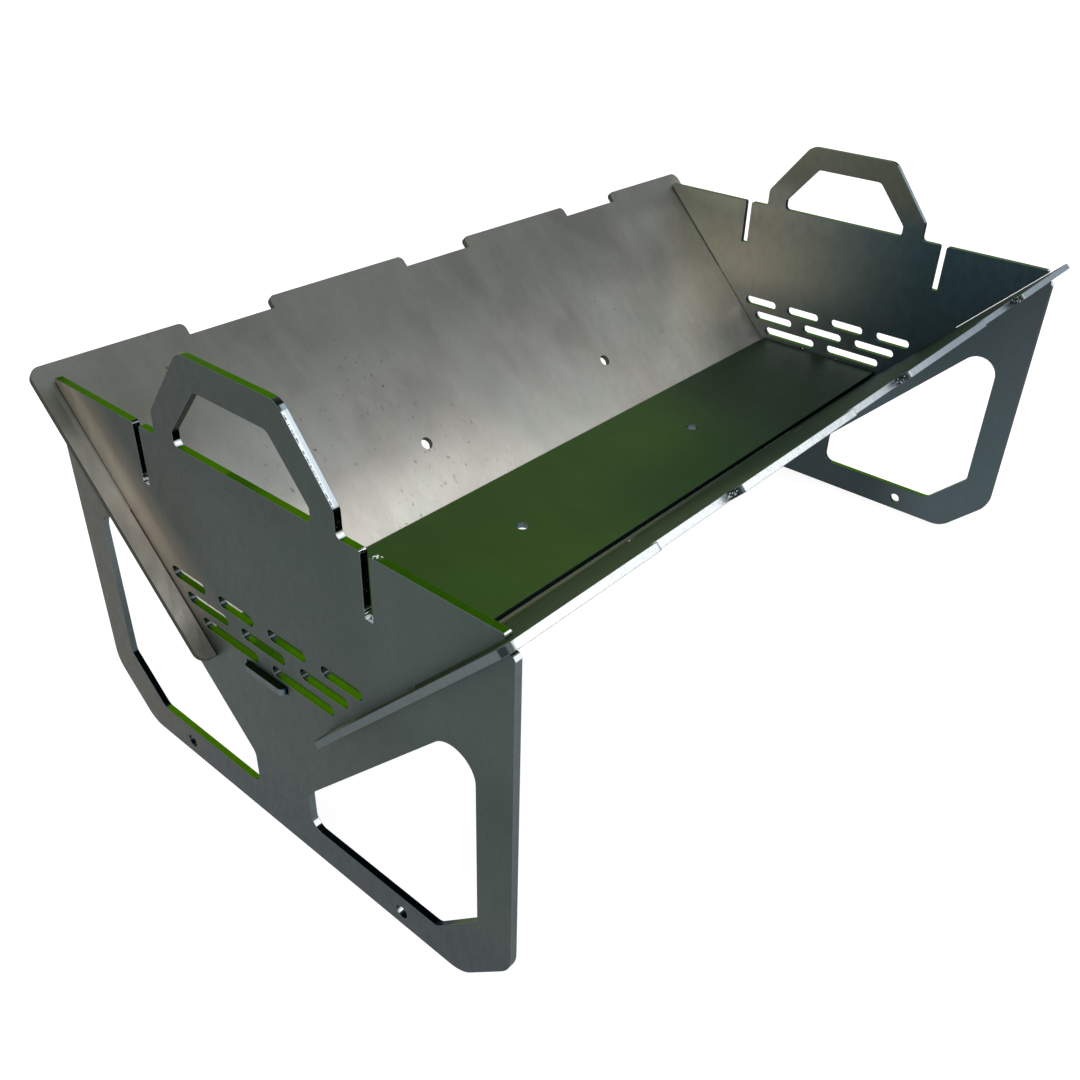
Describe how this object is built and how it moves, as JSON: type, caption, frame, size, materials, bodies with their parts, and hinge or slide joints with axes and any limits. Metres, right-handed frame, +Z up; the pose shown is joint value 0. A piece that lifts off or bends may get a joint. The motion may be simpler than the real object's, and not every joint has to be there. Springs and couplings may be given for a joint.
{
  "type": "flat-pack fire pit",
  "caption": "Trough-shaped fire pit of slotted steel plates: upright end plates with legs, hand holes and air slots hold leaning side plates and a tabbed base plate.",
  "frame": {"origin": "on the ground, under the middle of the fire pit", "axes": "+X along the basin to the right end plate, +Y across it to the rear side plate, +Z up"},
  "size_m": [0.6, 0.35, 0.2804],
  "materials": {
    "base_plate_steel": "bare cold-rolled sheet, satin, reflecting a dull olive green",
    "end_plate_steel": "bare cold-rolled sheet, satin slate grey with cloudy mill marks and bright laser-cut edges",
    "side_plate_steel": "bare cold-rolled sheet, satin warm grey with cloudy mill marks and bright laser-cut edges"
  },
  "bodies": {
    "frame": {"end_plate_left": "end_plate_steel", "end_plate_right": "end_plate_steel", "base_plate": "base_plate_steel"},
    "front_side": {"side_plate_front": "side_plate_steel"},
    "rear_side": {"side_plate_rear": "side_plate_steel"}
  },
  "joints": [
    {"name": "front_side_slide", "type": "slide", "parent": "frame", "child": "front_side", "axis": [0, -0.6997, 0.7145], "range_m": [0, 0.18]},
    {"name": "rear_side_slide", "type": "slide", "parent": "frame", "child": "rear_side", "axis": [0, 0.6997, 0.7145], "range_m": [0, 0.18]}
  ]
}
